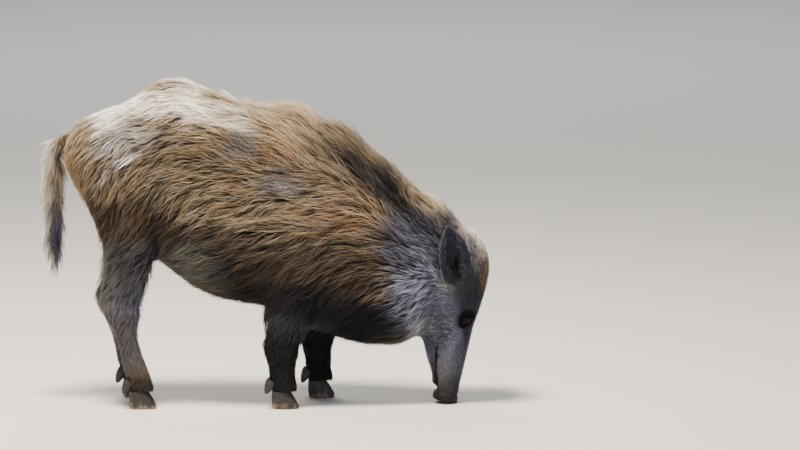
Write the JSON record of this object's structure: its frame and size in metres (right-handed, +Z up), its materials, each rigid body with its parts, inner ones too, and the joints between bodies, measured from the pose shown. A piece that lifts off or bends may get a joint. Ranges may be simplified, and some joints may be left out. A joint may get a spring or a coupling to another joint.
{
  "type": "wild boar sow",
  "caption": "Life-size still model of a wild boar sow standing with her snout to the ground, as when rooting, parted into head, neck, trunk, tail, legs and claws.",
  "frame": {"origin": "on the floor, under the centre of the sow's bounding box", "axes": "+X from tail to head, +Y to the sow's left, +Z up"},
  "size_m": [1.026, 0.3164, 0.7548],
  "materials": {
    "body_coat": "ochre and grey-brown winter coat, long coarse bristles over wool, matt",
    "rump_coat": "pale straw-coloured coat on rump and thighs, with patches of dried mud",
    "dark_coat": "short grey-black coat of face, throat and legs, matt",
    "snout_skin": "bare, slightly moist, finely wrinkled dark skin",
    "claw_horn": "dark horn with growth rings and soil",
    "eye": "wet, near-black brown eye"
  },
  "bodies": {
    "root": {"barrel": "body_coat", "ear_left": "dark_coat", "ear_right": "dark_coat", "eye_left": "eye", "eye_right": "eye", "fore_cannon_left": "dark_coat", "fore_cannon_right": "dark_coat", "fore_claw_inner_left": "claw_horn", "fore_claw_inner_right": "claw_horn", "fore_claw_outer_left": "claw_horn", "fore_claw_outer_right": "claw_horn", "fore_dewclaw_inner_left": "claw_horn", "fore_dewclaw_inner_right": "claw_horn", "fore_dewclaw_outer_left": "claw_horn", "fore_dewclaw_outer_right": "claw_horn", "fore_pastern_left": "dark_coat", "fore_pastern_right": "dark_coat", "forearm_left": "dark_coat", "forearm_right": "dark_coat", "head": "dark_coat", "hind_cannon_left": "dark_coat", "hind_cannon_right": "dark_coat", "hind_claw_inner_left": "claw_horn", "hind_claw_inner_right": "claw_horn", "hind_claw_outer_left": "claw_horn", "hind_claw_outer_right": "claw_horn", "hind_dewclaw_inner_left": "claw_horn", "hind_dewclaw_inner_right": "claw_horn", "hind_dewclaw_outer_left": "claw_horn", "hind_dewclaw_outer_right": "claw_horn", "hind_pastern_left": "dark_coat", "hind_pastern_right": "dark_coat", "lower_jaw": "dark_coat", "muzzle": "dark_coat", "neck": "dark_coat", "rump": "rump_coat", "shank_left": "dark_coat", "shank_right": "dark_coat", "shoulders": "body_coat", "snout_disc": "snout_skin", "tail": "body_coat", "tail_tuft": "dark_coat", "thigh_left": "rump_coat", "thigh_right": "rump_coat", "upper_arm_left": "dark_coat", "upper_arm_right": "dark_coat"}
  },
  "joints": []
}
